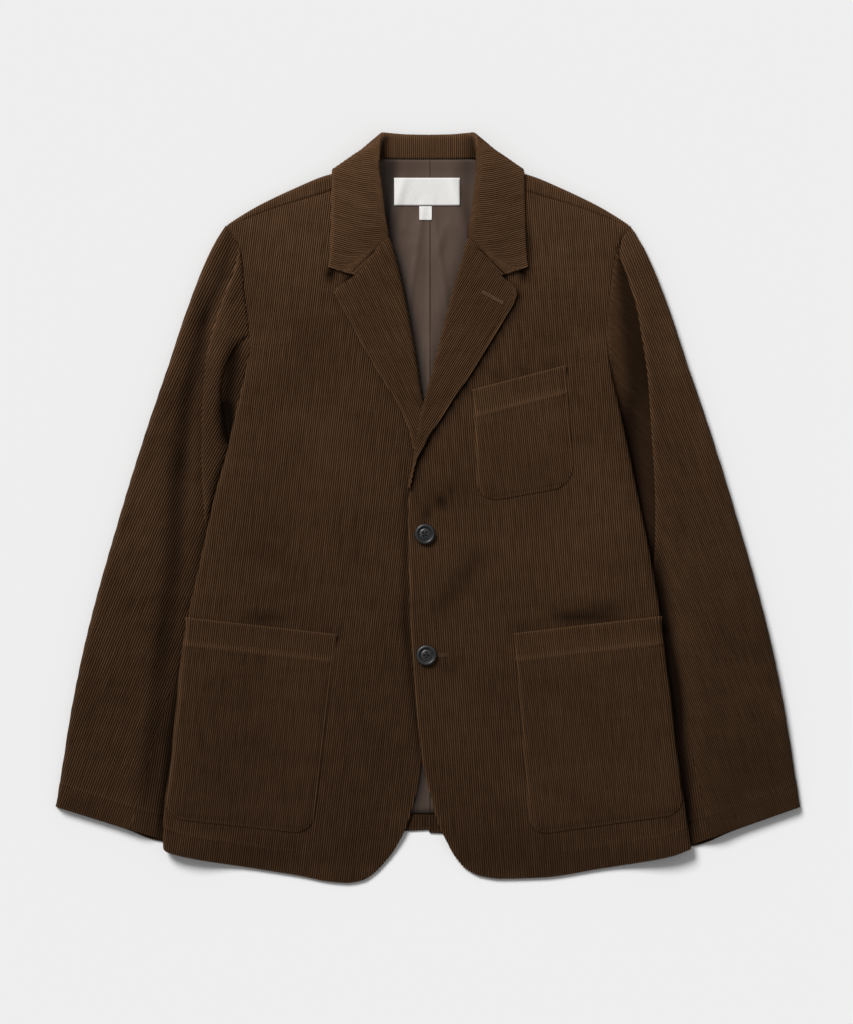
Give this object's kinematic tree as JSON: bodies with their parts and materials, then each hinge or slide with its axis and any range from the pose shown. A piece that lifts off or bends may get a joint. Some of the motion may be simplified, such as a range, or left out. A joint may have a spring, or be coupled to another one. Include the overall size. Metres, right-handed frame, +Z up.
{
  "type": "corduroy jacket",
  "caption": "Brown corduroy jacket laid flat and buttoned, with notched lapels, patch pockets, a satin lining and a plain neck label.",
  "frame": {"origin": "on the surface that the jacket lies on, below the middle of its outline seen from above", "axes": "+Z up from the surface, out through the fronts; +Y from the hem towards the collar; +X towards the wearer's left"},
  "size_m": [0.7812, 0.787, 0.0216],
  "materials": {
    "corduroy": "matt ribbed cotton corduroy, dark brown",
    "lining": "smooth satin, mauve brown",
    "button": "satin dark blue-grey resin",
    "label": "matt woven tape, off-white"
  },
  "bodies": {
    "root": {"back_left": "corduroy", "back_right": "corduroy", "sleeve_top_left": "corduroy", "sleeve_top_right": "corduroy", "sleeve_under_left": "corduroy", "sleeve_under_right": "corduroy", "front_left": "corduroy", "front_right": "corduroy", "lapel_left": "corduroy", "lapel_right": "corduroy", "collar": "corduroy", "chest_pocket": "corduroy", "hip_pocket_left": "corduroy", "hip_pocket_right": "corduroy", "lining_left": "lining", "lining_right": "lining", "button_upper": "button", "button_lower": "button", "neck_label": "label", "size_tab": "label"}
  },
  "joints": []
}
